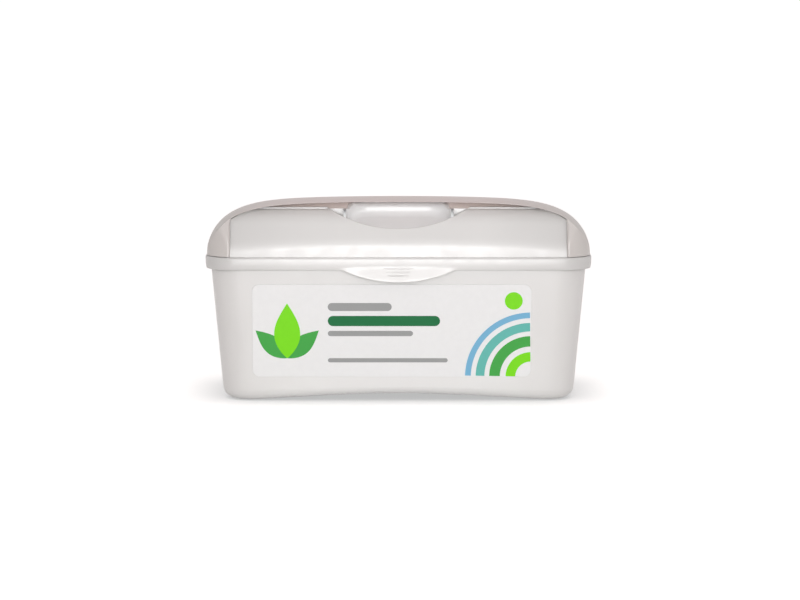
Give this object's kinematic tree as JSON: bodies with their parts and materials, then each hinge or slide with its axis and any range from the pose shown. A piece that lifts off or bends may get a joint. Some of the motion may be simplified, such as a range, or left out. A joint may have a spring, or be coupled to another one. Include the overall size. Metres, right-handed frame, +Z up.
{
  "type": "wet wipes tub",
  "caption": "Rigid tapering tub for wet wipes with a hinged lid, a thumb tab, an arched flip cover over a dispensing slot, and a stack of folded wipes inside.",
  "frame": {"origin": "centre of the overall box, at floor level", "axes": "+X along the length to the right, -Y out of the front with the label, +Z up"},
  "size_m": [0.2, 0.1076, 0.106],
  "materials": {
    "plastic": "satin translucent white",
    "wipes": "soft damp nonwoven",
    "label": "glossy printed film"
  },
  "bodies": {
    "tub": {"tub": "plastic", "wipes_stack": "wipes", "front_label": "label"},
    "lid": {"lid": "plastic"},
    "cover": {"cover": "plastic"}
  },
  "joints": [
    {"name": "lid_hinge", "type": "hinge", "parent": "tub", "child": "lid", "pos_m": [0, 0.05077, 0.0656], "axis": [-1, 0, 0], "range_deg": [0, 100]},
    {"name": "cover_hinge", "type": "hinge", "parent": "lid", "child": "cover", "pos_m": [0, 0.05077, 0.074], "axis": [-1, 0, 0], "range_deg": [0, 95]}
  ]
}
